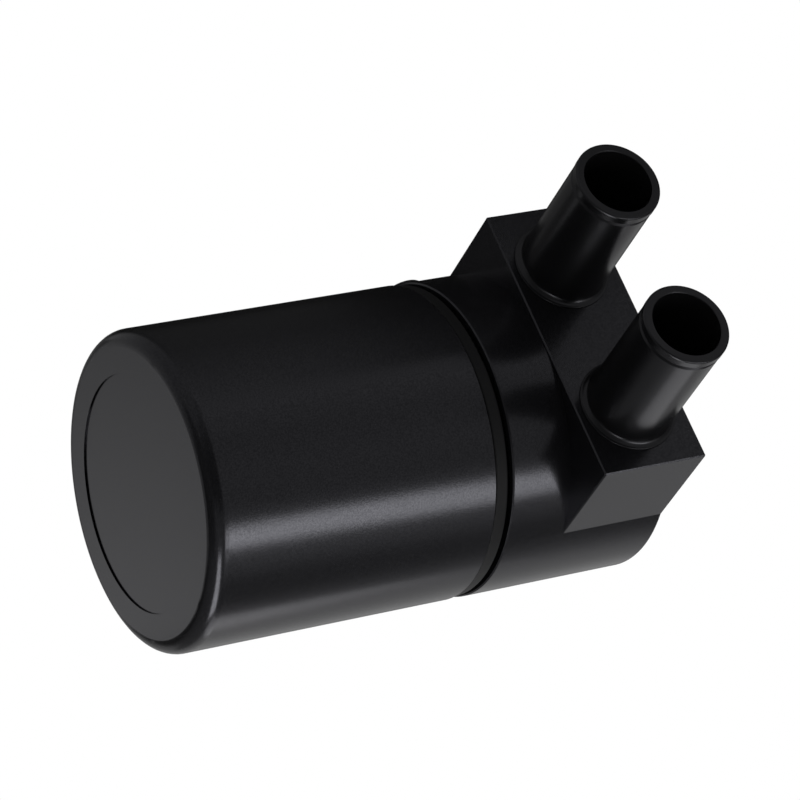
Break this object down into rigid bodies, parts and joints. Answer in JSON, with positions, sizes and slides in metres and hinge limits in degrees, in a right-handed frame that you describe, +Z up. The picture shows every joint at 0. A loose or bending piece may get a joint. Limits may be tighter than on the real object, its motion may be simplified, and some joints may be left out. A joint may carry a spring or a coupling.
{
  "type": "oil catch can",
  "caption": "Black cylindrical oil catch can: a drain bowl screws onto a billet head whose square port block carries side-by-side hose barbs.",
  "frame": {"origin": "centre of the ring-shaped bottom face that the can stands on, on the can's axis", "axes": "+Z up along the can's axis from the bowl to the head; +Y the way the hose barbs point; +X towards the inlet barb and the bracket screw"},
  "size_m": [0.0731, 0.1032, 0.112],
  "materials": {
    "black_anodised": "satin black anodised",
    "barb_anodised": "smooth turned, black anodised",
    "seal_rubber": "moulded nitrile rubber",
    "screw_steel": "black oxide steel",
    "tube_aluminium": "drawn, bare",
    "screen_steel": "stainless sheet",
    "mesh_steel": "knitted stainless wire",
    "spring_steel": "phosphated spring steel"
  },
  "bodies": {
    "bowl_body": {"bowl": "black_anodised"},
    "seal_body": {"head_seal_ring": "seal_rubber"},
    "head_body": {"head": "black_anodised", "inlet_barb": "barb_anodised", "outlet_barb": "barb_anodised", "inlet_barb_seal": "seal_rubber", "outlet_barb_seal": "seal_rubber", "drop_tube": "tube_aluminium", "upper_screen": "screen_steel", "mesh_pack": "mesh_steel", "lower_screen": "screen_steel", "snap_ring": "spring_steel", "bracket_screw": "screw_steel"}
  },
  "joints": [
    {"name": "thread_lift", "type": "slide", "parent": "bowl_body", "child": "seal_body", "axis": [0, 0, 1], "range_m": [0, 0.0075]},
    {"name": "head_turn", "type": "hinge", "parent": "seal_body", "child": "head_body", "pos_m": [0, 0, 0.0718], "axis": [0, 0, 1], "range_deg": [0, 1350]}
  ],
  "couplings": [
    {"joint": "thread_lift", "follows": "head_turn", "m_per_rad": 0.0003183}
  ]
}
